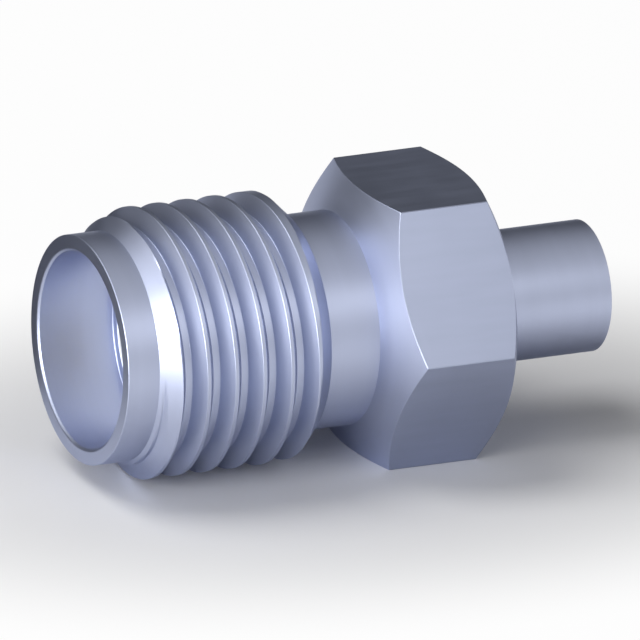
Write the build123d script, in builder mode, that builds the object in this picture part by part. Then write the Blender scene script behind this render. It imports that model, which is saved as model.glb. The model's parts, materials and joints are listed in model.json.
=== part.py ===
from build123d import *
from math import ceil, cos, degrees, atan2, radians, sin, sqrt, tan
import os

# Screw-coupled coaxial jack for semi-rigid cable, in millimetres.
# The axis is X. The origin is on the axis, at the floor of the front bore: the mating reference plane.
# -X points out of the mating mouth, +X runs along the cable, and one flat of the hexagon faces down.

# Driving dimensions of the outside. Stations are measured from the mating face.
pilot_diameter = 5.34
pilot_length = 0.785
thread_diameter = 6.27
threads_per_inch = 36
lead_cone_angle = 48.0                # from the axis
thread_end_station = 4.692            # where the full thread ends and its end chamfer starts
thread_end_chamfer = 0.42
neck_diameter = 4.98
neck_end_station = 6.44               # foot of the hexagon's front cone
hex_across_flats = 6.35
hex_chamfer_angle = 30.0              # of both cones, from a plane across the axis
hex_end_station = 9.59
tail_diameter = 3.05
overall_length = 12.75

# The thread groove: its last full turn ends here, then it fades out over part of a turn.
groove_end_setback = 0.131            # before the end of the full thread
groove_end_angle = -53.4              # about the axis, from +Y towards +Z
runout_turn = 0.25                    # share of a turn
tool_overshoot = 0.045                # how far the cutter stands out of the crest

# Driving dimensions of the inside
mating_bore_diameter = 4.60
mating_bore_depth = 1.90
mouth_chamfer = 0.05
insulator_bore_diameter = 4.12
retaining_groove_depth = 0.12
retaining_groove_width = 0.50
retaining_groove_station = 2.00       # from the reference plane to its front edge
shoulder_hole_diameter = 1.75
shoulder_thickness = 0.40
cable_bore_diameter = 2.24
cable_bore_depth = 4.35
cable_mouth_chamfer = 0.15

# Insulators and contact
seat_clearance = 0.01                 # radial, between a piece and the hole that it sits in
contact_recess = 0.05                 # behind the reference plane
contact_diameter = 1.27
socket_bore_diameter = 0.94
socket_bore_depth = 2.80
socket_mouth_chamfer = 0.08
slot_count = 4
slot_width = 0.14
slot_length = 1.90
collar_diameter = 2.00
collar_length = 0.60
front_insulator_length = 3.80
shank_diameter = 1.00
cup_bore_diameter = 0.55
cup_bore_depth = 1.60
cup_reach = 0.20                      # how far the solder cup stands into the shoulder's hole

# Radii
pilot_radius = pilot_diameter / 2
thread_radius = thread_diameter / 2
neck_radius = neck_diameter / 2
tail_radius = tail_diameter / 2
mating_bore_radius = mating_bore_diameter / 2
insulator_bore_radius = insulator_bore_diameter / 2
retaining_groove_radius = insulator_bore_radius + retaining_groove_depth
shoulder_hole_radius = shoulder_hole_diameter / 2
cable_bore_radius = cable_bore_diameter / 2
insulator_radius = insulator_bore_radius - seat_clearance
contact_radius = contact_diameter / 2
socket_bore_radius = socket_bore_diameter / 2
collar_radius = collar_diameter / 2
shank_radius = shank_diameter / 2
cup_bore_radius = cup_bore_diameter / 2

# Stations along X, from the reference plane
mating_face_x = -mating_bore_depth
pilot_end_x = mating_face_x + pilot_length
lead_cone_end_x = pilot_end_x + (thread_radius - pilot_radius) / tan(radians(lead_cone_angle))
thread_end_x = mating_face_x + thread_end_station
thread_back_x = thread_end_x + thread_end_chamfer
neck_end_x = mating_face_x + neck_end_station
hex_end_x = mating_face_x + hex_end_station
tail_end_x = mating_face_x + overall_length
cable_stop_x = tail_end_x - cable_bore_depth
shoulder_x = cable_stop_x - shoulder_thickness
collar_x = front_insulator_length - collar_length
cup_end_x = shoulder_x + cup_reach

# Thread form: 60 degree flanks, flat crest of an eighth of the pitch and flat root of a quarter
pitch = 25.4 / threads_per_inch
flank_slope = tan(radians(30))
sharp_height = pitch / 2 / flank_slope
groove_depth = sharp_height * 5 / 8
root_radius = thread_radius - groove_depth
root_half_width = pitch / 8
cutter_height = groove_depth + tool_overshoot
cutter_half_width = root_half_width + cutter_height * flank_slope
groove_end_x = thread_end_x - groove_end_setback
groove_turns = ceil((groove_end_x - pilot_end_x) / pitch + 0.5)
runout_length = pitch * runout_turn
runout_angle = degrees(atan2(cutter_height, runout_length))

# Hexagon: the round blank that both cones are turned on is a little larger than the corners
corner_radius = hex_across_flats / sqrt(3)
blank_allowance = 0.05
blank_radius = corner_radius + blank_allowance
chamfer_slope = tan(radians(hex_chamfer_angle))
front_cone_end_x = neck_end_x + (blank_radius - neck_radius) * chamfer_slope
rear_cone_x = hex_end_x - (blank_radius - hex_across_flats / 2) * chamfer_slope


# The cutter's path is a helix about Z. Its section is the groove, standing on the path.
with BuildPart() as full_turn:
    with BuildLine() as full_path:
        Helix(pitch, pitch, root_radius)
    with BuildSketch(Plane(full_path.line @ 0, x_dir=(1, 0, 0), z_dir=(0, -1, 0))) as cutter_section:
        with BuildLine():
            Polyline(
                (0, -root_half_width),
                (cutter_height, -cutter_half_width),
                (cutter_height, cutter_half_width),
                (0, root_half_width),
                close=True,
            )
        make_face()
    sweep(path=full_path.line, is_frenet=True)

# The run-out climbs a cone out of the metal. A slanted helix measures its pitch along the slant.
with BuildPart() as runout:
    with BuildLine() as runout_path:
        Helix(pitch / cos(radians(runout_angle)), runout_length, root_radius, cone_angle=runout_angle)
    sweep(sections=cutter_section.sketch, path=runout_path.line, normal=(0, 0, 1))

with BuildPart() as body:
    with BuildSketch(Plane.XZ):
        with BuildLine():
            Polyline(
                (mating_face_x, 0),
                (mating_face_x, pilot_radius),
                (pilot_end_x, pilot_radius),
                (lead_cone_end_x, thread_radius),
                (thread_end_x, thread_radius),
                (thread_back_x, thread_radius - thread_end_chamfer),
                (thread_back_x, neck_radius),
                (neck_end_x, neck_radius),
                (front_cone_end_x, blank_radius),
                (rear_cone_x, blank_radius),
                (hex_end_x, hex_across_flats / 2),
                (hex_end_x, tail_radius),
                (tail_end_x, tail_radius),
                (tail_end_x, 0),
                close=True,
            )
        make_face()
    revolve(axis=Axis.X)

    # Milled flats
    with BuildSketch(Plane.YZ.offset(neck_end_x)):
        Circle(blank_radius + blank_allowance)
        RegularPolygon(hex_across_flats / 2, 6, major_radius=False, mode=Mode.SUBTRACT)
    extrude(amount=hex_end_x - neck_end_x, mode=Mode.SUBTRACT)

    # Bores from both ends, with the shoulder between them
    with BuildSketch(Plane.XZ):
        with BuildLine():
            Polyline(
                (mating_face_x, 0),
                (mating_face_x, mating_bore_radius + mouth_chamfer),
                (mating_face_x + mouth_chamfer, mating_bore_radius),
                (0, mating_bore_radius),
                (0, insulator_bore_radius),
                (retaining_groove_station, insulator_bore_radius),
                (retaining_groove_station, retaining_groove_radius),
                (retaining_groove_station + retaining_groove_width, retaining_groove_radius),
                (retaining_groove_station + retaining_groove_width, insulator_bore_radius),
                (shoulder_x, insulator_bore_radius),
                (shoulder_x, shoulder_hole_radius),
                (cable_stop_x, shoulder_hole_radius),
                (cable_stop_x, cable_bore_radius),
                (tail_end_x - cable_mouth_chamfer, cable_bore_radius),
                (tail_end_x, cable_bore_radius + cable_mouth_chamfer),
                (tail_end_x, 0),
                close=True,
            )
        make_face()
    revolve(axis=Axis.X, mode=Mode.SUBTRACT)

    # Thread groove, one turn at a time, then its run-out
    start_side = (0, cos(radians(groove_end_angle)), sin(radians(groove_end_angle)))
    for turn in range(groove_turns):
        turn_plane = Plane((groove_end_x - (turn + 1) * pitch, 0, 0), x_dir=start_side, z_dir=(1, 0, 0))
        add(full_turn.part.moved(turn_plane.location), mode=Mode.SUBTRACT)
    runout_plane = Plane((groove_end_x, 0, 0), x_dir=start_side, z_dir=(1, 0, 0))
    add(runout.part.moved(runout_plane.location), mode=Mode.SUBTRACT)

with BuildPart() as front_insulator:
    with BuildSketch(Plane.XZ):
        with BuildLine():
            Polyline(
                (0, contact_radius + seat_clearance),
                (0, insulator_radius),
                (retaining_groove_station + seat_clearance, insulator_radius),
                (retaining_groove_station + seat_clearance, retaining_groove_radius - seat_clearance),
                (retaining_groove_station + retaining_groove_width - seat_clearance, insulator_radius),
                (front_insulator_length, insulator_radius),
                (front_insulator_length, collar_radius + seat_clearance),
                (collar_x, collar_radius + seat_clearance),
                (collar_x, contact_radius + seat_clearance),
                close=True,
            )
        make_face()
    revolve(axis=Axis.X)

with BuildPart() as rear_insulator:
    with BuildSketch(Plane.YZ.offset(front_insulator_length)):
        Circle(insulator_radius)
        Circle(shank_radius + seat_clearance, mode=Mode.SUBTRACT)
    extrude(amount=shoulder_x - front_insulator_length)

with BuildPart() as centre_contact:
    with BuildSketch(Plane.XZ):
        with BuildLine():
            Polyline(
                (contact_recess, socket_bore_radius + socket_mouth_chamfer),
                (contact_recess, contact_radius),
                (collar_x, contact_radius),
                (collar_x, collar_radius),
                (front_insulator_length, collar_radius),
                (front_insulator_length, shank_radius),
                (cup_end_x, shank_radius),
                (cup_end_x, cup_bore_radius),
                (cup_end_x - cup_bore_depth, cup_bore_radius),
                (cup_end_x - cup_bore_depth, 0),
                (contact_recess + socket_bore_depth, 0),
                (contact_recess + socket_bore_depth, socket_bore_radius),
                (contact_recess + socket_mouth_chamfer, socket_bore_radius),
                close=True,
            )
        make_face()
    revolve(axis=Axis.X)

    # Slots that part the mouth into springy fingers
    with BuildSketch(Plane.YZ.offset(contact_recess)):
        with PolarLocations(0, slot_count):
            Rectangle(contact_diameter, slot_width, align=(Align.MIN, Align.CENTER))
    extrude(amount=slot_length, mode=Mode.SUBTRACT)

os.makedirs("parts", exist_ok=True)
for name, piece in {
    "body": body,
    "front_insulator": front_insulator,
    "rear_insulator": rear_insulator,
    "centre_contact": centre_contact,
}.items():
    piece.part.label = name
    export_step(piece.part, f"parts/{name}.step")
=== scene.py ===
# %% [markdown]
# # A small coaxial jack, turned from one bar
#
# The real thing is the fixed half of a screw-coupled radio connector, hardly longer than a
# fingernail is wide. One metal body carries a smooth pilot tube, a fine outside thread, a
# relief neck, a wrench hexagon and a plain tail that a cable is soldered into. White
# insulators inside hold one gilt socket contact on the axis.
#
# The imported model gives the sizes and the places. This script gives the looks: each piece
# is turned again at the fineness that a close camera needs, and gets its own finish.

import json
import math

import bmesh
import bpy
from mathutils import Matrix, Vector


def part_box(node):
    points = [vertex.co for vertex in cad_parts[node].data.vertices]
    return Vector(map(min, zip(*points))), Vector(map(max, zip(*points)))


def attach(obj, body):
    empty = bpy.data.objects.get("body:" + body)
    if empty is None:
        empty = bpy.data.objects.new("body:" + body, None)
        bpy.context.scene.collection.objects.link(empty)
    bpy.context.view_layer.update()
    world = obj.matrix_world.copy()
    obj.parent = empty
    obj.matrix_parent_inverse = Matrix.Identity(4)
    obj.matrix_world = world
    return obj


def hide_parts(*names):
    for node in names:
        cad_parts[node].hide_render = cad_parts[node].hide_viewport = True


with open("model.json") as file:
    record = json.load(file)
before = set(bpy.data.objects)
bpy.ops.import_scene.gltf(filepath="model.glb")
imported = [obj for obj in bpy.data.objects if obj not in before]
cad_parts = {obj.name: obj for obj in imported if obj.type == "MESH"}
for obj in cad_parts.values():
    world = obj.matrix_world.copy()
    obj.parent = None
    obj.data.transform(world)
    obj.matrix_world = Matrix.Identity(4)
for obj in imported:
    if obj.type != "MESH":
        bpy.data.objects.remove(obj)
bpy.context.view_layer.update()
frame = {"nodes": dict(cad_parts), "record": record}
MM = 0.001

# %% [markdown]
# ## The sizes of the body
#
# Whatever the frame can tell is read from it: the corners of each node's box, and the radii
# of the mounts in the record. The rest are named sizes in millimetres, the ones that a
# drawing of this body would carry. X runs along the axis from the mating reference plane,
# so each size is a place on X, a length or a radius.

# %% Sizes of the outside in millimetres
body_low, body_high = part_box("body")
mounts = {mount["name"]: mount["dims"] for mount in frame["record"]["mounts"]}

face_x = body_low.x / MM
tail_x = body_high.x / MM
flat_radius = body_high.z / MM
tail_radius = mounts["tail_outside"]["r_mm"]

pilot_radius = 2.67
crest_radius = 3.135
neck_radius = 2.49
end_chamfer = 0.42
hex_angle = math.radians(30)

# How far behind the mating face each stretch ends
pilot_station = 0.785
crest_station = 4.692
neck_station = 6.44
hex_station = 9.59
pilot_end_x = face_x + pilot_station
crest_end_x = face_x + crest_station
thread_back_x = crest_end_x + end_chamfer
neck_end_x = face_x + neck_station
hex_end_x = face_x + hex_station

# The thread
threads_per_inch = 36
pitch = 25.4 / threads_per_inch
lead_angle = math.radians(48)
flank_angle = math.radians(30)
groove_depth = pitch * math.cos(flank_angle) * 5 / 8
root_half_width = pitch / 8
mouth_half_width = root_half_width + groove_depth * math.tan(flank_angle)
groove_end_setback = 0.131
groove_end_x = crest_end_x - groove_end_setback
groove_end_angle = math.radians(-53.4)
runout_turn = 0.25
print("pitch", round(pitch, 4), "groove", round(groove_depth, 3), "deep, mm")

# %% Sizes of the bores in millimetres
mouth_radius = mounts["mating_bore"]["r_mm"]
cable_radius = mounts["cable_bore"]["r_mm"]
mouth_chamfer = 0.05
cable_chamfer = 0.15
cable_bore_depth = 4.35
cable_stop_x = tail_x - cable_bore_depth
shoulder_thickness = 0.40
shoulder_x = cable_stop_x - shoulder_thickness
shoulder_radius = 0.875
seat_radius = 2.06
ring_x = 2.00
ring_width = 0.50
ring_depth = 0.12
print("seat bore", round(shoulder_x, 2), "deep behind the reference plane, mm")

# %% [markdown]
# ## The half section
#
# A lathe part is one outline turned about an axis, so each piece starts as a closed row of
# points in a plane through the axis. Real corners are never perfectly sharp: the maker
# breaks every edge by a hundredth of a millimetre or two, and a fine thread by less. That
# tiny face is what catches the light. `broken` puts it there, with two points in place of
# each corner.
#
# Some stretches of the body can't be turned from fixed points, because their shape changes
# round the axis: the thread, and the cones and the flats of the hexagon. So each point
# carries the number of its zone, and the node tree works out where it goes. A point of the
# hexagon has a share from 0 to 1 instead of a place.

# %% Helpers for the points of a section
TURNED, THREAD, FRONT_CONE, FLAT, REAR_CONE = range(5)

# How far from a corner its broken edge starts, in millimetres
body_break = 0.014
thread_break = 0.0045
insulator_break = 0.02
contact_break = 0.012


def broken(corners, size):
    """The corners of an open outline, each inner one replaced by a small slanted face."""
    points = [corners[0]]
    for before, corner, after in zip(corners, corners[1:], corners[2:]):
        for other in (before, after):
            way = Vector(other) - Vector(corner)
            step = min(size, way.length / 3)
            points.append(tuple(Vector(corner) + way.normalized() * step))
    return points + [corners[-1]]


def turned(corners, size=body_break):
    return [(x, radius, TURNED, 0.0) for x, radius in broken(corners, size)]


def shared_out(zone, count, margin):
    """Points with only a share of the way across their zone, with a close pair at each end."""
    inner = [2 * margin + (1 - 4 * margin) * step / (count - 1) for step in range(count)]
    return [(0.0, 0.0, zone, share) for share in [margin, *inner, 1 - margin]]


def section_mesh(name, points):
    """Loose points in metres, with the zone and the share of each as attributes."""
    mesh = bpy.data.meshes.new(name)
    mesh.from_pydata([(x * MM, 0.0, radius * MM) for x, radius, zone, share in points], [], [])
    zones = mesh.attributes.new("zone", "INT", "POINT")
    zones.data.foreach_set("value", [zone for x, radius, zone, share in points])
    shares = mesh.attributes.new("share", "FLOAT", "POINT")
    shares.data.foreach_set("value", [share for x, radius, zone, share in points])
    print(name, len(points), "points")
    return mesh

# %% [markdown]
# The thread's rows lie close together beside its edges and evenly on its flanks. They are
# placed where the groove lies at angle zero, and the tree shifts them along the helix.

# %% The rows of the thread
def thread_rows():
    flank_steps = 8
    first = root_half_width + thread_break
    last = mouth_half_width - thread_break
    half = [root_half_width / 2, root_half_width - thread_break]
    half += [first + (last - first) * step / flank_steps for step in range(flank_steps + 1)]
    half += [mouth_half_width + thread_break]
    offsets = [-pitch / 2] + [-offset for offset in reversed(half)] + [0.0] + half
    groove_x = groove_end_x - pitch * groove_end_angle / math.tau
    first_turn = math.floor((pilot_end_x - groove_x) / pitch) - 1
    last_turn = math.ceil((thread_back_x - groove_x) / pitch) + 1
    turns = [groove_x + turn * pitch for turn in range(first_turn, last_turn)]
    rows = [turn_x + offset for turn_x in turns for offset in offsets]
    return [(x, crest_radius, THREAD, 0.0) for x in rows if pilot_end_x - pitch < x < thread_back_x]


thread_points = thread_rows()
first_x, last_x = thread_points[0][0], thread_points[-1][0]
print(len(thread_points), "rows from", round(first_x, 2), "to", round(last_x, 2))

# %% The body's section
mouth_and_pilot = [
    (face_x + mouth_chamfer, mouth_radius),
    (face_x, mouth_radius + mouth_chamfer),
    (face_x, pilot_radius),
    (pilot_end_x, pilot_radius),
]
relief_neck = [
    (thread_back_x, crest_radius - end_chamfer),
    (thread_back_x, neck_radius),
    (neck_end_x, neck_radius),
]
tail_and_bores = [
    (hex_end_x, flat_radius),
    (hex_end_x, tail_radius),
    (tail_x, tail_radius),
    (tail_x, cable_radius + cable_chamfer),
    (tail_x - cable_chamfer, cable_radius),
    (cable_stop_x, cable_radius),
    (cable_stop_x, shoulder_radius),
    (shoulder_x, shoulder_radius),
    (shoulder_x, seat_radius),
    (ring_x + ring_width, seat_radius),
    (ring_x + ring_width, seat_radius + ring_depth),
    (ring_x, seat_radius + ring_depth),
    (ring_x, seat_radius),
    (0.0, seat_radius),
    (0.0, mouth_radius),
    (face_x + mouth_chamfer, mouth_radius),
]
body_section = section_mesh(
    "body_section",
    turned(mouth_and_pilot)
    + thread_points
    + turned(relief_neck)
    + shared_out(FRONT_CONE, 8, margin=0.012)
    + shared_out(FLAT, 4, margin=0.004)
    + shared_out(REAR_CONE, 3, margin=0.03)
    + turned(tail_and_bores)[:-1],
)

# %% [markdown]
# ## Writing node sums as sums
#
# A node tree that works out a radius needs dozens of Math nodes, and wired one by one they
# hide the formula. `Number` wraps a socket, so that adding or multiplying two of them adds
# the node and its wires, and the trees below read as the geometry does.

# %% Nodes and their sockets
def put(tree, kind, inputs=None, **settings):
    """Add a node, set its properties, and fill or wire its inputs by name or place."""
    node = tree.nodes.new(kind)
    for name, value in settings.items():
        setattr(node, name, value)
    for name, value in (inputs or {}).items():
        fill(tree, open_socket(node.inputs, name), value)
    return node


def open_socket(sockets, name):
    """The socket of that name or place. Some nodes hide one for each other type of data."""
    if isinstance(name, int):
        return sockets[name]
    return next(socket for socket in sockets if socket.name == name and socket.enabled)


def fill(tree, socket, value):
    if isinstance(value, Number):
        value = value.socket
    if isinstance(value, bpy.types.NodeSocket):
        tree.links.new(value, socket)
    else:
        socket.default_value = value


def out(node, name=None):
    """The named output, or else the first one in use."""
    in_use = [socket for socket in node.outputs if socket.enabled]
    return next(socket for socket in in_use if name in (None, socket.name))

# %% A socket that behaves like a number
class Number:
    def __init__(self, tree, socket):
        self.tree = tree
        self.socket = socket

    def then(self, operation, *values):
        node = put(self.tree, "ShaderNodeMath", dict(enumerate((self, *values))), operation=operation)
        return Number(self.tree, node.outputs[0])

    def __add__(self, value):
        return self.then("ADD", value)

    def __sub__(self, value):
        return self.then("SUBTRACT", value)

    def __mul__(self, value):
        return self.then("MULTIPLY", value)

    def __truediv__(self, value):
        return self.then("DIVIDE", value)

    def at_most(self, value):
        return self.then("MINIMUM", value)

    def at_least(self, value):
        return self.then("MAXIMUM", value)

    def between(self, low, high):
        return self.at_least(low).at_most(high)

    def wrapped(self, low, high):
        return self.then("WRAP", high, low)


def new_group(kind, name, inputs, outputs):
    """A node group with named number inputs. Lengths are in metres and angles in radians."""
    tree = bpy.data.node_groups.new(name, kind)
    for title, socket_type in outputs.items():
        tree.interface.new_socket(title, in_out="OUTPUT", socket_type=socket_type)
    if kind == "GeometryNodeTree":
        tree.is_modifier = True
        tree.interface.new_socket("Geometry", in_out="INPUT", socket_type="NodeSocketGeometry")
    for title, value in inputs.items():
        socket_type = "NodeSocketInt" if isinstance(value, int) else "NodeSocketFloat"
        tree.interface.new_socket(title, in_out="INPUT", socket_type=socket_type).default_value = value
    entry = tree.nodes.new("NodeGroupInput")
    return tree, entry.outputs[0], {title: Number(tree, entry.outputs[title]) for title in inputs}

# %% [markdown]
# ## Turning a section
#
# A Spin or a Screw modifier copies the outline as it is, and a thread isn't the same
# outline at every angle. So a flat grid is laid out instead, with one row for each point of
# the section and one column for each angle, and every grid point looks up its own section
# point by number. What comes out is still flat, with fields that say where each point
# belongs. Six equal sides share the columns, and the narrow gap between two sides falls on
# a corner of the hexagon, where it becomes the broken edge between two flats.

# %% The grid that every turned piece starts from
SIDES = 6
half_side = math.pi / SIDES
body_grid = {"Columns per Side": 48, "Corner Gap": 0.004}


def turning_group():
    names = ("Axial", "Radius", "Zone", "Share", "Angle", "Flat Angle")
    outputs = {"Geometry": "NodeSocketGeometry"} | dict.fromkeys(names, "NodeSocketFloat")
    tree, section, size = new_group("GeometryNodeTree", "Turning grid", body_grid, outputs)

    def whole(operation, first, second):
        return out(put(tree, "FunctionNodeIntegerMath", {0: first, 1: second}, operation=operation))

    def read(value, kind, index):
        inputs = {"Geometry": section, "Value": value, "Index": index}
        return out(put(tree, "GeometryNodeSampleIndex", inputs, data_type=kind, domain="POINT"))

    def named(name, kind):
        node = put(tree, "GeometryNodeInputNamedAttribute", {"Name": name}, data_type=kind)
        return out(node, "Attribute")

    domain = put(tree, "GeometryNodeAttributeDomainSize", {0: section}, component="MESH")
    count = out(domain, "Point Count")
    per_side = size["Columns per Side"].socket
    rows = whole("ADD", count, 1)
    columns = whole("ADD", whole("MULTIPLY", per_side, SIDES), 1)
    grid = put(tree, "GeometryNodeMeshGrid", {"Vertices X": columns, "Vertices Y": rows})
    number = out(put(tree, "GeometryNodeInputIndex"))
    column = whole("DIVIDE_FLOOR", number, rows)
    row = whole("FLOORED_MODULO", whole("FLOORED_MODULO", number, rows), count)

    side = Number(tree, whole("DIVIDE_FLOOR", column, per_side))
    place = Number(tree, whole("FLOORED_MODULO", column, per_side))
    reach = size["Corner Gap"] * -1 + half_side
    step = reach * 2 / (size["Columns per Side"] - 1)
    flat_angle = place * step - reach
    position = out(put(tree, "GeometryNodeInputPosition"))
    spot = put(tree, "ShaderNodeSeparateXYZ", {0: read(position, "FLOAT_VECTOR", row)})
    put(tree, "NodeGroupOutput", {
        "Geometry": out(grid, "Mesh"),
        "Axial": spot.outputs["X"],
        "Radius": spot.outputs["Z"],
        "Zone": read(named("zone", "INT"), "INT", row),
        "Share": read(named("share", "FLOAT"), "FLOAT", row),
        "Angle": side * (2 * half_side) + flat_angle + half_side,
        "Flat Angle": flat_angle,
    })
    return tree


turning = turning_group()
print("turning grid", len(turning.nodes), "nodes")

# %% Steps that every tree shares
def turn_grid(tree, section, columns, gap):
    node = put(tree, "GeometryNodeGroup", node_tree=turning)
    for name, value in {"Geometry": section, "Columns per Side": columns, "Corner Gap": gap}.items():
        fill(tree, node.inputs[name], value)
    return node.outputs["Geometry"], {socket.name: Number(tree, socket) for socket in node.outputs[1:]}


def roll_up(tree, geometry, axial, radius, angle):
    """Roll the flat grid round the X axis, drop what collapsed onto the axis, and weld it."""
    on_axis = 1e-8
    weld_distance = 2e-7
    round_way = {"Y": radius * angle.then("COSINE"), "Z": radius * angle.then("SINE")}
    spot = put(tree, "ShaderNodeCombineXYZ", {"X": axial} | round_way)
    moved = put(tree, "GeometryNodeSetPosition", {"Geometry": geometry, "Position": out(spot)})
    middle = put(tree, "ShaderNodeSeparateXYZ", {0: out(put(tree, "GeometryNodeInputPosition"))})
    y, z = (Number(tree, middle.outputs[name]) for name in "YZ")
    inputs = {"A": y * y + z * z, "B": on_axis ** 2}
    collapsed = put(tree, "FunctionNodeCompare", inputs, operation="LESS_THAN")
    inputs = {"Geometry": out(moved), "Selection": out(collapsed)}
    kept = put(tree, "GeometryNodeDeleteGeometry", inputs, domain="FACE")
    inputs = {"Geometry": out(kept), "Distance": weld_distance}
    return out(put(tree, "GeometryNodeMergeByDistance", inputs))


def finish_tree(tree, geometry, material):
    """Shade smooth except across real edges, realise what is instanced, set the material."""
    sharp_from = math.radians(9)
    inputs = {"Geometry": geometry, "Shade Smooth": True}
    smooth = put(tree, "GeometryNodeSetShadeSmooth", inputs, domain="FACE")
    bend = out(put(tree, "GeometryNodeInputMeshEdgeAngle"), "Unsigned Angle")
    sharp = put(tree, "FunctionNodeCompare", {"A": bend, "B": sharp_from}, operation="GREATER_THAN")
    inputs = {"Geometry": out(smooth), "Selection": out(sharp), "Shade Smooth": False}
    edges = put(tree, "GeometryNodeSetShadeSmooth", inputs, domain="EDGE")
    real = put(tree, "GeometryNodeRealizeInstances", {"Geometry": out(edges)})
    painted = put(tree, "GeometryNodeSetMaterial", {"Geometry": out(real), "Material": material})
    put(tree, "NodeGroupOutput", {"Geometry": out(painted)})

# %% [markdown]
# ## The thread and the hexagon
#
# A thread is cut, not added: a 60 degree tool follows a helix and leaves a flat crest and a
# flat root. So the tree takes the smallest of several radii at every point: the crest, the
# lead-in cone in front, the chamfer behind, and the wall of the groove. The rows of the
# grid run along the helix, which keeps the edges of the thread on rows of the mesh. Where
# the last turn of the groove ends, its floor climbs out of the metal over a quarter turn.
#
# On the hexagon the rows follow the curved line where a turned cone meets a flat. It comes
# out exact, because the points between two such lines are shared out and not fixed.

# %% Radii of the thread and of the hexagon
def thread_spot(size, at):
    """Where a thread point lies along the axis, and its radius there."""
    along = at["Axial"] + size["Pitch"] * at["Angle"] / math.tau
    along = along.between(size["Thread Start"], size["Thread Back"])
    lead_slope = size["Lead Angle"].then("TANGENT")
    lead_cone = (along - size["Thread Start"]) * lead_slope + size["Lead Foot Radius"]
    end_cone = size["Crest Radius"] - (along - size["Crest End"]).at_least(0.0)
    turned_on = at["Angle"] - size["Groove End Angle"]
    groove_centre = size["Groove End"] + size["Pitch"] * turned_on / math.tau
    half_pitch = size["Pitch"] / 2
    offset = (along - groove_centre).wrapped(half_pitch * -1, half_pitch)
    beyond_root = (offset.then("ABSOLUTE") - size["Root Half Width"]).at_least(0.0)
    turns_past_end = (along - offset - size["Groove End"]) / size["Pitch"]
    highest = 2.0
    climb = (turns_past_end / size["Runout Turn"]).between(0.0, highest) * size["Groove Depth"]
    root = size["Crest Radius"] - size["Groove Depth"]
    groove = root + beyond_root / math.tan(flank_angle) + climb
    return along, groove.at_most(size["Crest Radius"]).at_most(lead_cone).at_most(end_cone)


def hexagon_spots(size, at):
    """Place and radius on the front cone, on a flat and on the rear cone."""
    share = at["Share"]
    slope = size["Hex Angle"].then("TANGENT")
    flat = size["Flat Radius"] / at["Flat Angle"].then("COSINE")
    front_edge = size["Hex Start"] + (flat - size["Neck Radius"]) * slope
    rear_edge = size["Hex End"] - (flat - size["Flat Radius"]) * slope

    def across(start, end):
        return start + (end - start) * share

    return (
        (across(size["Hex Start"], front_edge), across(size["Neck Radius"], flat)),
        (across(front_edge, rear_edge), flat),
        (across(rear_edge, size["Hex End"]), across(flat, size["Flat Radius"])),
    )

# %% The body's tree
def body_tree(material):
    sizes = body_grid | {
        "Pitch": pitch * MM,
        "Crest Radius": crest_radius * MM,
        "Groove Depth": groove_depth * MM,
        "Root Half Width": root_half_width * MM,
        "Thread Start": pilot_end_x * MM,
        "Lead Foot Radius": pilot_radius * MM,
        "Lead Angle": lead_angle,
        "Crest End": crest_end_x * MM,
        "Thread Back": thread_back_x * MM,
        "Groove End": groove_end_x * MM,
        "Groove End Angle": groove_end_angle,
        "Runout Turn": runout_turn,
        "Neck Radius": neck_radius * MM,
        "Hex Start": neck_end_x * MM,
        "Hex End": hex_end_x * MM,
        "Flat Radius": flat_radius * MM,
        "Hex Angle": hex_angle,
    }
    outputs = {"Geometry": "NodeSocketGeometry"}
    tree, section, size = new_group("GeometryNodeTree", "Turned and milled body", sizes, outputs)
    grid, at = turn_grid(tree, section, size["Columns per Side"], size["Corner Gap"])
    spots = [(at["Axial"], at["Radius"]), thread_spot(size, at), *hexagon_spots(size, at)]

    def by_zone(values):
        node = put(tree, "GeometryNodeIndexSwitch", {"Index": at["Zone"]}, data_type="FLOAT")
        while len(node.index_switch_items) < len(values):
            node.index_switch_items.new()
        for place, value in enumerate(values):
            fill(tree, node.inputs[1 + place], value)
        return Number(tree, node.outputs[0])

    axial = by_zone([along for along, radius in spots])
    radius = by_zone([radius for along, radius in spots])
    on_flat = put(tree, "FunctionNodeCompare", {"A": at["Zone"], "B": float(FLAT)}, operation="EQUAL")
    inputs = {"Geometry": grid, "Name": "drawn", "Value": out(on_flat)}
    marked = put(tree, "GeometryNodeStoreNamedAttribute", inputs, data_type="FLOAT", domain="POINT")
    finish_tree(tree, roll_up(tree, out(marked), axial, radius, at["Angle"]), material)
    return tree

# %% From a section and a tree to a piece
def modifier_inputs(tree, modifier, values):
    """Set a modifier's inputs by the identifiers of the sockets with those names."""
    for item in tree.interface.items_tree:
        if item.item_type == "SOCKET" and item.in_out == "INPUT" and item.name in values:
            modifier[item.identifier] = values[item.name]


def cubic_mm(mesh):
    """The volume inside a mesh, and how many of its edges don't join two faces."""
    work = bmesh.new()
    work.from_mesh(mesh)
    bmesh.ops.remove_doubles(work, verts=work.verts, dist=1e-9)
    open_edges = sum(1 for edge in work.edges if len(edge.link_faces) != 2)
    volume = work.calc_volume(signed=True) / MM ** 3
    work.free()
    return round(volume, 2), open_edges


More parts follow.
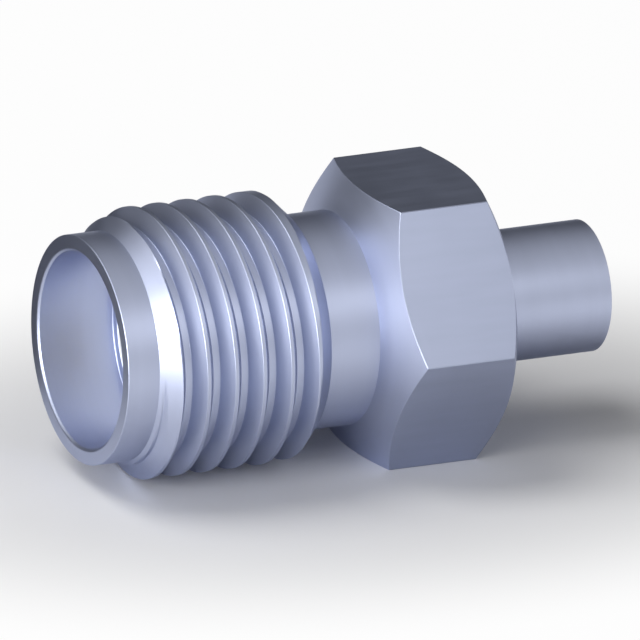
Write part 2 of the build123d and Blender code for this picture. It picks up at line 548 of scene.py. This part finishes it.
def make_piece(name, node, section, tree, slot, **values):
    """Run a tree on a section, keep the plain mesh, and let it stand for its CAD node."""
    seed = bpy.data.objects.new(name + "_section", section)
    bpy.context.scene.collection.objects.link(seed)
    modifier = seed.modifiers.new("Turn", "NODES")
    modifier.node_group = tree
    modifier_inputs(tree, modifier, values)
    evaluated = seed.evaluated_get(bpy.context.evaluated_depsgraph_get())
    mesh = bpy.data.meshes.new_from_object(evaluated)
    mesh.name = name
    if mesh.materials[0] is None:
        mesh.materials.pop(index=0)
    bpy.data.objects.remove(seed)
    piece = bpy.data.objects.new(name, mesh)
    bpy.context.scene.collection.objects.link(piece)
    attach(piece, "root")
    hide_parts(node)
    print(name, len(mesh.polygons), "faces", cubic_mm(mesh), "CAD", cubic_mm(frame["nodes"][node].data))
    return piece

# %% [markdown]
# ## Marks that the tools leave
#
# Turned metal isn't smooth: the tool leaves fine rings round the axis on every face, and
# that is why turned parts shine in streaks across the rings. A noise that reads the place
# along the axis and the distance from it, and hardly anything else, gives such rings on
# every face, whichever way it slopes. The hexagon is different. It is the skin of the drawn
# bar, with faint lines that run lengthwise, so its noise hardly reads X.
#
# Both metals and the plastic are turned, so the rings are one node group, with its own
# fineness in each material.

# %% Node groups for the surface
VALUES = {"Height": "NodeSocketFloat", "Tone": "NodeSocketFloat"}


def object_spot(tree):
    """Object coordinates in millimetres, and the distance from the axis."""
    place = put(tree, "ShaderNodeTexCoord").outputs["Object"]
    spot = put(tree, "ShaderNodeSeparateXYZ", {0: place})
    x, y, z = (Number(tree, spot.outputs[name]) / MM for name in "XYZ")
    return x, y, z, (y * y + z * z).then("SQRT")


def noise(tree, x, y, z, detail):
    vector = put(tree, "ShaderNodeCombineXYZ", {"X": x, "Y": y, "Z": z})
    inputs = {"Vector": out(vector), "Scale": 1.0, "Detail": detail, "Roughness": 0.6}
    return Number(tree, out(put(tree, "ShaderNodeTexNoise", inputs)))


def ring_group():
    inputs = {"Rings per mm": 22.0, "Wander": 1.2}
    tree, _, size = new_group("ShaderNodeTree", "Turning rings", inputs, VALUES)
    x, y, z, radius = object_spot(tree)
    never_zero = 1e-3
    rings_in_band = 9
    calmer = 0.6
    round_way = y / radius.at_least(never_zero) * size["Wander"]
    fine = size["Rings per mm"]
    broad = fine / rings_in_band
    height = noise(tree, x * fine, radius * fine, round_way, detail=3.0)
    tone = noise(tree, x * broad, radius * broad, round_way * calmer, detail=2.0)
    put(tree, "NodeGroupOutput", {"Height": height, "Tone": tone})
    return tree


def drawn_group():
    tree, _, size = new_group("ShaderNodeTree", "Drawn lines", {"Lines per mm": 14.0}, VALUES)
    x, y, z, radius = object_spot(tree)
    fine = size["Lines per mm"]
    lengthwise = 0.03
    tone_along, tone_across = 0.35, 2.4
    height = noise(tree, x * fine * lengthwise, y * fine, z * fine, detail=3.0)
    tone = noise(tree, x * tone_along, y * tone_across, z * tone_across, detail=2.0)
    put(tree, "NodeGroupOutput", {"Height": height, "Tone": tone})
    return tree


def handling_group():
    """Soft patches that handling and washing leave."""
    outputs = {"Patch": "NodeSocketFloat"}
    tree, _, size = new_group("ShaderNodeTree", "Handling", {"Patches per mm": 0.5}, outputs)
    x, y, z, radius = object_spot(tree)
    wide = size["Patches per mm"]
    patch = noise(tree, x * wide, y * wide, z * wide, detail=3.0)
    put(tree, "NodeGroupOutput", {"Patch": patch})
    return tree


rings, drawn_lines, handling = ring_group(), drawn_group(), handling_group()
print([group.name for group in (rings, drawn_lines, handling)])

# %% Steps that the materials share
def new_material(name, metallic, **constants):
    """A material with a Principled shader. What is the same all over sits on its sockets."""
    material = bpy.data.materials.new(name)
    material.use_nodes = True
    tree = material.node_tree
    shader = tree.nodes["Principled BSDF"]
    shader.inputs["Metallic"].default_value = metallic
    for title, value in constants.items():
        shader.inputs[title.replace("_", " ")].default_value = value
    return material, tree, shader


def use_group(tree, group, **values):
    node = put(tree, "ShaderNodeGroup", node_tree=group)
    for title, value in values.items():
        node.inputs[title.replace("_", " ")].default_value = value
    return {socket.name: Number(tree, socket) for socket in node.outputs}


def blend_colours(tree, share, *colours):
    """Mix two colours, each of them a socket or three numbers."""
    first, second = ((*one, 1.0) if isinstance(one, tuple) else one for one in colours)
    inputs = {"Factor": share, "A": first, "B": second}
    return out(put(tree, "ShaderNodeMix", inputs, data_type="RGBA"))


def blend(tree, share, first, second):
    inputs = {"Factor": share, "A": first, "B": second}
    return Number(tree, out(put(tree, "ShaderNodeMix", inputs, data_type="FLOAT")))


def spread(tree, value, low, high):
    """Map the middle part of a noise, where nearly all of it lies, to low and high."""
    inputs = {"Value": value, "From Min": 0.3, "From Max": 0.7, "To Min": low, "To Max": high}
    return Number(tree, out(put(tree, "ShaderNodeMapRange", inputs)))


def bump(tree, shader, height, depth_mm, strength):
    inputs = {"Height": height, "Distance": depth_mm * MM, "Strength": strength}
    fill(tree, shader.inputs["Normal"], out(put(tree, "ShaderNodeBump", inputs)))

# %% [markdown]
# ## Steel, gilt and plastic
#
# The body is passivated stainless steel. Turned fine, it is satin rather than bright, and
# the photograph shows it a cool lavender grey. The flats keep the skin and the lengthwise
# lines of the drawn bar, and their colour is a darker copy of the fresh turned metal: painted
# shade on the flats. The roughness wanders a little with the rings and with handling, which
# breaks up the long highlights as on the real metal.

# %% Satin steel
def satin_steel():
    material, tree, shader = new_material(
        "satin_turned_steel", metallic=1.0, Specular_Tint=(0.56, 0.57, 0.62, 1.0)
    )
    ring = use_group(tree, rings, Rings_per_mm=22.0, Wander=1.2)
    line = use_group(tree, drawn_lines, Lines_per_mm=14.0)
    touched = use_group(tree, handling, Patches_per_mm=0.5)
    on_flat = Number(tree, put(tree, "ShaderNodeAttribute", attribute_name="drawn").outputs["Fac"])
    tone = blend(tree, on_flat, ring["Tone"], line["Tone"])
    height = blend(tree, on_flat, ring["Height"], line["Height"])
    share = spread(tree, tone, 0.0, 1.0)
    fresh = blend_colours(tree, share, (0.49, 0.535, 0.695), (0.51, 0.555, 0.72))
    # Painted shade: the flats get a darker copy of the turned steel's colour
    flat_painted_shade = blend_colours(tree, share, (0.40, 0.44, 0.575), (0.43, 0.47, 0.615))
    fill(tree, shader.inputs["Base Color"], blend_colours(tree, on_flat, fresh, flat_painted_shade))
    roughness = spread(tree, tone, 0.408, 0.432) + spread(tree, touched["Patch"], -0.02, 0.015)
    fill(tree, shader.inputs["Roughness"], roughness)
    bump(tree, shader, height, depth_mm=0.0016, strength=0.5)
    return material


steel = satin_steel()

# %% Gilt contact and white insulators
def bright_gilt():
    material, tree, shader = new_material("bright_gilt", metallic=1.0)
    ring = use_group(tree, rings, Rings_per_mm=40.0, Wander=0.8)
    touched = use_group(tree, handling, Patches_per_mm=1.2)
    share = spread(tree, ring["Tone"], 0.0, 1.0)
    colour = blend_colours(tree, share, (0.88, 0.66, 0.28), (0.96, 0.77, 0.38))
    fill(tree, shader.inputs["Base Color"], colour)
    fill(tree, shader.inputs["Roughness"], spread(tree, touched["Patch"], 0.20, 0.28))
    bump(tree, shader, ring["Height"], depth_mm=0.0008, strength=0.4)
    return material


def waxy_white():
    material, tree, shader = new_material(
        "waxy_white_plastic", metallic=0.0, IOR=1.38,
        Subsurface_Weight=0.25, Subsurface_Scale=0.3 * MM, Subsurface_Radius=(1.0, 1.0, 0.9),
    )
    ring = use_group(tree, rings, Rings_per_mm=12.0, Wander=0.5)
    touched = use_group(tree, handling, Patches_per_mm=0.9)
    share = spread(tree, touched["Patch"], 0.0, 1.0)
    colour = blend_colours(tree, share, (0.80, 0.80, 0.785), (0.85, 0.85, 0.84))
    fill(tree, shader.inputs["Base Color"], colour)
    fill(tree, shader.inputs["Roughness"], spread(tree, ring["Tone"], 0.42, 0.55))
    bump(tree, shader, ring["Height"], depth_mm=0.003, strength=0.35)
    return material


gilt = bright_gilt()
plastic = waxy_white()
print([material.name for material in (steel, gilt, plastic)])

# %% The body
body = make_piece("turned_body", "body", body_section, body_tree(steel), "body_steel")

# %% [markdown]
# ## What sits inside
#
# Two plastic bushes are pushed in from the mouth. The front one has a barb that snaps into
# a ring groove of the body, and a counterbore that holds the collar of the contact. They
# are plain lathe work, so one tree turns all of them. The contact's mouth is slit into
# four springy fingers, with a saw blade that is moved round in equal steps, and the tree
# does it the same way: one blade, four instances, one cut.

# %% The tree for plain turned pieces
def turned_tree(name, material, blade_count=0):
    """A tree for lathe work. With a count of blades, it cuts that many slots as well."""
    sizes = {"Columns per Side": 16}
    if blade_count:
        titles = ("Width", "Start", "End", "Inner Radius", "Outer Radius")
        sizes |= {"Blade " + title: 1.0 * MM for title in titles}
    outputs = {"Geometry": "NodeSocketGeometry"}
    tree, section, size = new_group("GeometryNodeTree", name, sizes, outputs)
    # At this gap, all the columns are the same distance apart
    even_gap = size["Columns per Side"].then("POWER", -1.0) * half_side
    grid, at = turn_grid(tree, section, size["Columns per Side"], even_gap)
    geometry = roll_up(tree, grid, at["Axial"], at["Radius"], at["Angle"])
    if blade_count:
        geometry = cut_slots(tree, geometry, size, blade_count)
    finish_tree(tree, geometry, material)
    return tree


def cut_slots(tree, geometry, size, count):
    """Cut one radial slot for each blade. The blades stop short of each other inside the bore."""
    length = size["Blade End"] - size["Blade Start"]
    reach = size["Blade Outer Radius"] - size["Blade Inner Radius"]
    extent = put(tree, "ShaderNodeCombineXYZ", {"X": length, "Y": reach, "Z": size["Blade Width"]})
    middle = put(
        tree, "ShaderNodeCombineXYZ",
        {"X": size["Blade Start"] + length / 2, "Y": size["Blade Inner Radius"] + reach / 2},
    )
    box = put(tree, "GeometryNodeMeshCube", {"Size": out(extent)})
    blade = put(tree, "GeometryNodeTransform", {"Geometry": out(box), "Translation": out(middle)})
    stations = put(tree, "GeometryNodePoints", {"Count": count})
    step = Number(tree, out(put(tree, "GeometryNodeInputIndex"))) * (math.tau / count)
    angles = put(tree, "ShaderNodeCombineXYZ", {"X": step})
    turn = put(tree, "FunctionNodeEulerToRotation", {0: out(angles)})
    inputs = {"Points": out(stations), "Instance": out(blade), "Rotation": out(turn)}
    blades = put(tree, "GeometryNodeInstanceOnPoints", inputs)
    how = {"operation": "DIFFERENCE", "solver": "EXACT"}
    cut = put(tree, "GeometryNodeMeshBoolean", {"Mesh 1": geometry}, **how)
    tree.links.new(out(blades), open_socket(cut.inputs, "Mesh 2"))
    return out(cut, "Mesh")

# %% The insulators
contact_radius = 0.635
shank_radius = 0.50
collar_radius = 1.00
collar_x = 3.20
front_end_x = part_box("front_insulator")[1].x / MM
seat_clearance = 0.01
bush_radius = seat_radius - seat_clearance
seam_radius = 1.30                    # where an outline starts and ends, away from its corners
front_corners = [
    (0.0, seam_radius),
    (0.0, bush_radius),
    (ring_x + seat_clearance, bush_radius),
    (ring_x + seat_clearance, bush_radius + ring_depth),
    (ring_x + ring_width - seat_clearance, bush_radius),
    (front_end_x, bush_radius),
    (front_end_x, collar_radius + seat_clearance),
    (collar_x, collar_radius + seat_clearance),
    (collar_x, contact_radius + seat_clearance),
    (0.0, contact_radius + seat_clearance),
    (0.0, seam_radius),
]
rear_corners = [
    (front_end_x, seam_radius),
    (front_end_x, bush_radius),
    (shoulder_x, bush_radius),
    (shoulder_x, shank_radius + seat_clearance),
    (front_end_x, shank_radius + seat_clearance),
    (front_end_x, seam_radius),
]
insulator_tree = turned_tree("Turned insulator", plastic)
insulator_grid = {"Columns per Side": 20}
for node, corners in {"front_insulator": front_corners, "rear_insulator": rear_corners}.items():
    section = section_mesh(node + "_section", turned(corners, insulator_break)[:-1])
    make_piece("turned_" + node, node, section, insulator_tree, "ptfe", **insulator_grid)

# %% The contact's section
socket_radius = mounts["contact_socket"]["r_mm"]
cup_radius = mounts["solder_cup"]["r_mm"]
contact_low, contact_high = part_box("centre_contact")
contact_face_x = contact_low.x / MM
cup_end_x = contact_high.x / MM
socket_depth = 2.80
socket_chamfer = 0.08
cup_depth = 1.60
contact_corners = [
    (contact_face_x + socket_depth, 0.0),
    (contact_face_x + socket_depth, socket_radius),
    (contact_face_x + socket_chamfer, socket_radius),
    (contact_face_x, socket_radius + socket_chamfer),
    (contact_face_x, contact_radius),
    (collar_x, contact_radius),
    (collar_x, collar_radius),
    (front_end_x, collar_radius),
    (front_end_x, shank_radius),
    (cup_end_x, shank_radius),
    (cup_end_x, cup_radius),
    (cup_end_x - cup_depth, cup_radius),
    (cup_end_x - cup_depth, 0.0),
]
contact_section = section_mesh("contact_section", turned(contact_corners, contact_break))

# %% The blades that slit the contact
slot_count = 4
slot_width = 0.14
slot_length = 1.90
blade_inner_radius = 0.30
blade_overhang = 0.3
blade_run_in = 0.5
blades = {
    "Blade Width": slot_width * MM,
    "Blade Start": (contact_face_x - blade_run_in) * MM,
    "Blade End": (contact_face_x + slot_length) * MM,
    "Blade Inner Radius": blade_inner_radius * MM,
    "Blade Outer Radius": (contact_radius + blade_overhang) * MM,
}
contact_tree = turned_tree("Turned and slit contact", gilt, slot_count)
make_piece("turned_contact", "centre_contact", contact_section, contact_tree, "gold_contact", **blades)

# %% [markdown]
# ## The camera
#
# The photograph looks at the mouth from the front left and from above, with no perspective:
# edges that are parallel on the object stay parallel in it. So the camera is orthographic.
# The picture was also stretched in height by about a seventh when it was made. The part
# keeps its true proportions, and the camera is set by the picture's width.

# %% Camera at the photograph's angle
view_azimuth = math.radians(-25.7)
view_elevation = math.radians(21.3)
view_roll = math.radians(2.57)
pixels_per_mm = 43.6
picture_pixels = 640
object_middle = (321.5, 313.0)
camera_distance = 60 * MM


def photo_camera():
    sideways, up_share = math.cos(view_elevation), math.sin(view_elevation)
    back = Vector((math.sin(view_azimuth) * sideways, -math.cos(view_azimuth) * sideways, up_share))
    turn = back.to_track_quat("Z", "Y").to_matrix() @ Matrix.Rotation(view_roll, 3, "Z")
    points = [turn.transposed() @ vertex.co for vertex in body.data.vertices]
    spans = [[spot[way] for spot in points] for way in (0, 1)]
    middle = [(min(span) + max(span)) / 2 for span in spans]
    pixel = MM / pixels_per_mm
    across = middle[0] + (picture_pixels / 2 - object_middle[0]) * pixel
    upward = middle[1] - (picture_pixels / 2 - object_middle[1]) * pixel
    data = bpy.data.cameras.new("photo_camera")
    data.type = "ORTHO"
    data.ortho_scale = picture_pixels * pixel
    data.clip_start = 1 * MM
    data.clip_end = 2.0
    camera = bpy.data.objects.new("photo_camera", data)
    place = turn @ Vector((across, upward, camera_distance))
    camera.matrix_world = Matrix.Translation(place) @ turn.to_4x4()
    bpy.context.scene.collection.objects.link(camera)
    bpy.context.scene.camera = camera
    print("camera at", [round(value / MM, 2) for value in camera.location], "mm")


photo_camera()

# %% [markdown]
# ## Floor, room and lamps
#
# The photograph has a plain white ground. The floor is pale plastic with a share of plain
# white added for camera, glossy and transmission rays, so that it looks white and is seen
# white in the metal too. That share fades out near the part, where the shadow lies.
#
# Metal shows what stands round it more than what falls on it. The room is brightest in
# front, a little above the horizon, where a round bar's near side looks, and dim at the
# back, where its upper edge looks. So the tubes fade from light to dark over their top, as
# in the photograph. White behind the part is for camera rays alone.

# %% Floor
def seen_directly(tree):
    """1 for camera, glossy and transmission rays, and 0 for the light that falls on things."""
    path = put(tree, "ShaderNodeLightPath").outputs
    camera, glossy, through = (
        Number(tree, path[f"Is {kind} Ray"]) for kind in ("Camera", "Glossy", "Transmission")
    )
    return camera.at_least(glossy).at_least(through)


def pale_floor():
    """Lit plainly within an oval round the part, and whiter the further out, up to a share."""
    middle_x = 4.5
    flattening = 0.45
    white_from, white_to = 4.5, 12.0
    most_white = 0.96
    material, tree, shader = new_material(
        "pale_floor", metallic=0.0, Roughness=0.9, Specular_IOR_Level=0.1,
        Base_Color=(0.82, 0.82, 0.83, 1.0),
    )
    glow = put(tree, "ShaderNodeEmission", {"Color": (1.0, 1.0, 1.0, 1.0), "Strength": 1.0})
    x, y, z, distance = object_spot(tree)
    along = x - middle_x
    from_middle = (along * along * flattening + y * y).then("SQRT")
    inputs = {"Value": from_middle, "From Min": white_from, "From Max": white_to, "To Max": most_white}
    whiter = put(tree, "ShaderNodeMapRange", inputs, interpolation_type="SMOOTHSTEP")
    share = seen_directly(tree) * Number(tree, out(whiter))
    inputs = {0: share, 1: shader.outputs[0], 2: glow.outputs[0]}
    lit = put(tree, "ShaderNodeMixShader", inputs)
    from_below = put(tree, "ShaderNodeNewGeometry").outputs["Backfacing"]
    clear = put(tree, "ShaderNodeBsdfTransparent")
    surface = put(tree, "ShaderNodeMixShader", {0: from_below, 1: lit.outputs[0], 2: clear.outputs[0]})
    tree.links.new(surface.outputs[0], tree.nodes["Material Output"].inputs["Surface"])
    return material


floor_reach = 0.4
floor_signs = ((-1, -1), (1, -1), (1, 1), (-1, 1))
floor_corners = [(x * floor_reach, y * floor_reach, body_low.z) for x, y in floor_signs]
floor_mesh = bpy.data.meshes.new("floor")
floor_mesh.from_pydata(floor_corners, [], [(0, 1, 2, 3)])
floor_mesh.materials.append(pale_floor())
floor = bpy.data.objects.new("floor", floor_mesh)
bpy.context.scene.collection.objects.link(floor)

# %% Room
def studio_world():
    front, rise = 0.87, 0.5
    dim, bright = 0.055, 0.72
    falls_on_things = 0.16
    world = bpy.data.worlds.new("studio")
    bpy.context.scene.world = world
    world.use_nodes = True
    tree = world.node_tree
    way = put(tree, "ShaderNodeTexCoord").outputs["Generated"]
    way = put(tree, "ShaderNodeSeparateXYZ", {0: way})
    forward = Number(tree, way.outputs["Z"]) * rise - Number(tree, way.outputs["Y"]) * front
    inputs = {"Value": forward, "From Min": -0.50, "From Max": 0.92, "To Min": dim, "To Max": bright}
    seen = put(tree, "ShaderNodeMapRange", inputs)
    path = put(tree, "ShaderNodeLightPath")
    level = blend(tree, seen_directly(tree), falls_on_things, Number(tree, out(seen)))
    level = level.at_least(Number(tree, path.outputs["Is Camera Ray"]))
    fill(tree, tree.nodes["Background"].inputs["Color"], (1.0, 1.0, 1.0, 1.0))
    fill(tree, tree.nodes["Background"].inputs["Strength"], level)


studio_world()

# %% [markdown]
# Four round softboxes do the rest. A wide weak one lights the inside through the mouth. A
# strong one at the front left gives the cones and the front flanks of the thread their
# highlight. A small one stands near on the right, so that the pilot tube is lit more than
# the tail, which lies further from it. The key hangs above, a little towards the mouth's
# end and the back, out of the way of what the tubes and the cones mirror, and lights the
# ground.

# %% Lamps
def softbox(name, towards, half_angle, radiance, distance=0.12, seen_from=0.0):
    """A round lamp that fills a cone of that half angle, seen from a place on the axis."""
    data = bpy.data.lights.new(name, "AREA")
    data.shape = "DISK"
    radius = distance * math.tan(math.radians(half_angle))
    data.size = 2 * radius
    data.energy = radiance * math.pi * math.pi * radius ** 2
    lamp = bpy.data.objects.new(name, data)
    way = Vector(towards).normalized()
    place = way * distance + Vector((seen_from * MM, 0.0, 0.0))
    lamp.matrix_world = Matrix.Translation(place) @ way.to_track_quat("Z", "Y").to_matrix().to_4x4()
    lamp.visible_camera = False
    bpy.context.scene.collection.objects.link(lamp)
    print(name, round(data.energy * 1000, 1), "mW,", round(data.size / MM), "mm across")


softbox("mouth_softbox", (-0.95, -0.16, 0.17), half_angle=42, radiance=0.60, distance=0.13)
softbox("left_softbox", (-0.87, -0.44, 0.15), half_angle=20, radiance=6.1)
softbox(
    "right_softbox", (0.404, -0.73, 0.55), half_angle=14, radiance=0.95,
    distance=0.03, seen_from=-1.5,
)
softbox("key_softbox", (-0.38, 0.20, 0.90), half_angle=18, radiance=4.6)

# %% [markdown]
# The flat ring round the mouth mirrors the white floor behind it, and would come out as the
# lightest face of all. In the photograph it is darker than the bore. People who photograph
# shiny parts hang a dark card there, just outside the picture. This card is seen in
# reflections only, so it throws no shadow and hides nothing from any side: it is a painted
# dark reflection on the ring.

# %% Reflection-only dark card, a painted dark reflection
def mouth_flag(towards, distance_mm, half_width_mm, top_mm):
    """A dark card across that way from the mouth, seen in reflections only: a painted dark reflection.
    """
    way = Vector(towards).normalized()
    middle = Vector((face_x, 0.0)) + way * distance_mm
    ends = [middle + Vector((-way.y, way.x)) * half_width_mm * side for side in (-1, 1)]
    foot_mm = body_low.z / MM
    corners = [(*ends[0], foot_mm), (*ends[1], foot_mm), (*ends[1], top_mm), (*ends[0], top_mm)]
    mesh = bpy.data.meshes.new("mouth_flag")
    mesh.from_pydata([[value * MM for value in corner] for corner in corners], [], [(0, 1, 2, 3)])
    # Painted dark reflection: only glossy rays see this dark card
    card = {"Roughness": 1.0, "Base_Color": (0.10, 0.10, 0.11, 1.0)}
    material, tree, shader = new_material("dark_card", metallic=0.0, **card)
    mesh.materials.append(material)
    reflection_only_card = bpy.data.objects.new("mouth_flag", mesh)
    reflection_only_card.visible_camera = False
    reflection_only_card.visible_diffuse = False
    reflection_only_card.visible_transmission = False
    reflection_only_card.visible_shadow = False
    bpy.context.scene.collection.objects.link(reflection_only_card)
    print("reflection_only_card", 2 * half_width_mm, "mm wide and", round(top_mm - foot_mm, 1), "mm high")


# Puts a painted dark reflection on the mouth ring, where the ring mirrors the floor
mouth_flag((-0.434, 0.901), distance_mm=5.5, half_width_mm=5.0, top_mm=2.5)
bpy.context.scene.view_settings.view_transform = "Standard"
